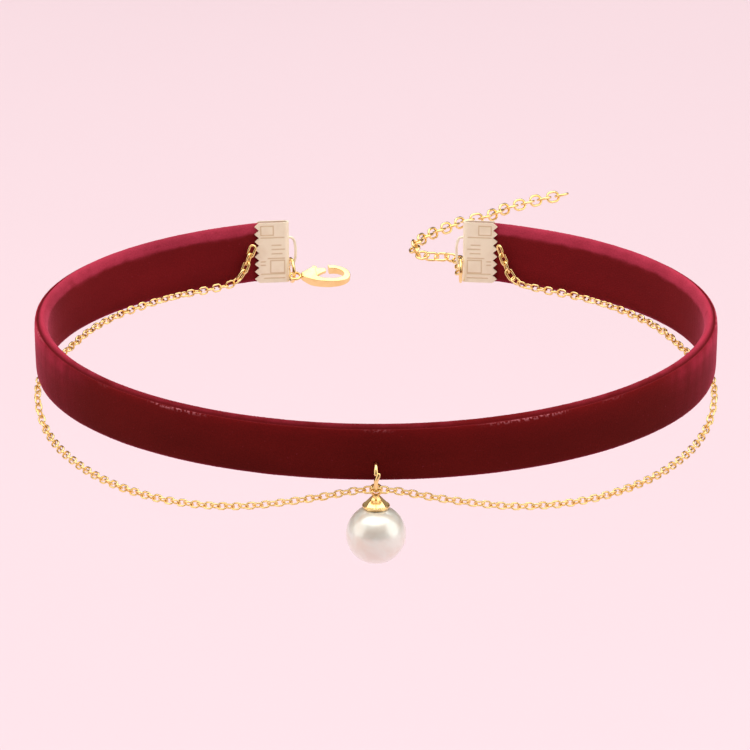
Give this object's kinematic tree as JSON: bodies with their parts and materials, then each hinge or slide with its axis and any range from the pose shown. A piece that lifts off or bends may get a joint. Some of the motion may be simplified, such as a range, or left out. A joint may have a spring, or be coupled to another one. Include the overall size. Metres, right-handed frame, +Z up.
{
  "type": "velvet choker necklace",
  "caption": "Velvet ribbon choker with crimped ends, lobster clasp, extender chain, fine swag chain and a round pearl drop on a ring.",
  "frame": {"origin": "middle of the neck loop at half the height of the ribbon", "axes": "+X to the side of the extender's crimp, +Y to the back of the neck, +Z up; the pearl hangs at -Y"},
  "size_m": [0.111, 0.1435, 0.0239],
  "materials": {
    "velvet": "matt pile with a light sheen",
    "pale_gold": "satin plated",
    "gold": "polished plated",
    "pearl": "nacre lacquer"
  },
  "bodies": {
    "necklace": {"velvet_ribbon": "velvet", "crimp_left": "pale_gold", "crimp_right": "pale_gold", "clasp_ring": "gold", "clasp_body": "gold", "extender_ring": "gold", "extender_link_01": "gold", "extender_link_02": "gold", "extender_link_03": "gold", "extender_link_04": "gold", "extender_link_05": "gold", "extender_link_06": "gold", "extender_link_07": "gold", "extender_link_08": "gold", "extender_link_09": "gold", "extender_link_10": "gold", "extender_link_11": "gold", "extender_link_12": "gold", "extender_link_13": "gold", "extender_link_14": "gold", "extender_link_15": "gold", "extender_link_16": "gold", "extender_link_17": "gold", "extender_link_18": "gold", "extender_link_19": "gold", "extender_link_20": "gold", "extender_link_21": "gold", "extender_link_22": "gold", "extender_link_23": "gold", "extender_link_24": "gold", "extender_link_25": "gold", "extender_link_26": "gold", "extender_link_27": "gold", "extender_link_28": "gold", "extender_link_29": "gold", "extender_link_30": "gold", "extender_link_31": "gold", "extender_link_32": "gold", "extender_link_33": "gold", "drop_ring": "gold", "chain_left": "gold", "chain_right": "gold"},
    "drop": {"pearl_cap": "gold", "pearl": "pearl"},
    "lever": {"clasp_lever": "gold"}
  },
  "joints": [
    {"name": "drop_swing", "type": "hinge", "parent": "necklace", "child": "drop", "pos_m": [0, -0.04921, -0.00647], "axis": [0, 1, 0], "range_deg": [-25, 25]},
    {"name": "lever_open", "type": "hinge", "parent": "necklace", "child": "lever", "pos_m": [-0.01051, 0.04347, -0.00367], "axis": [0, 0.309, -0.9511], "range_deg": [0, 20], "stiffness_Nm_per_rad": 0.0002}
  ]
}
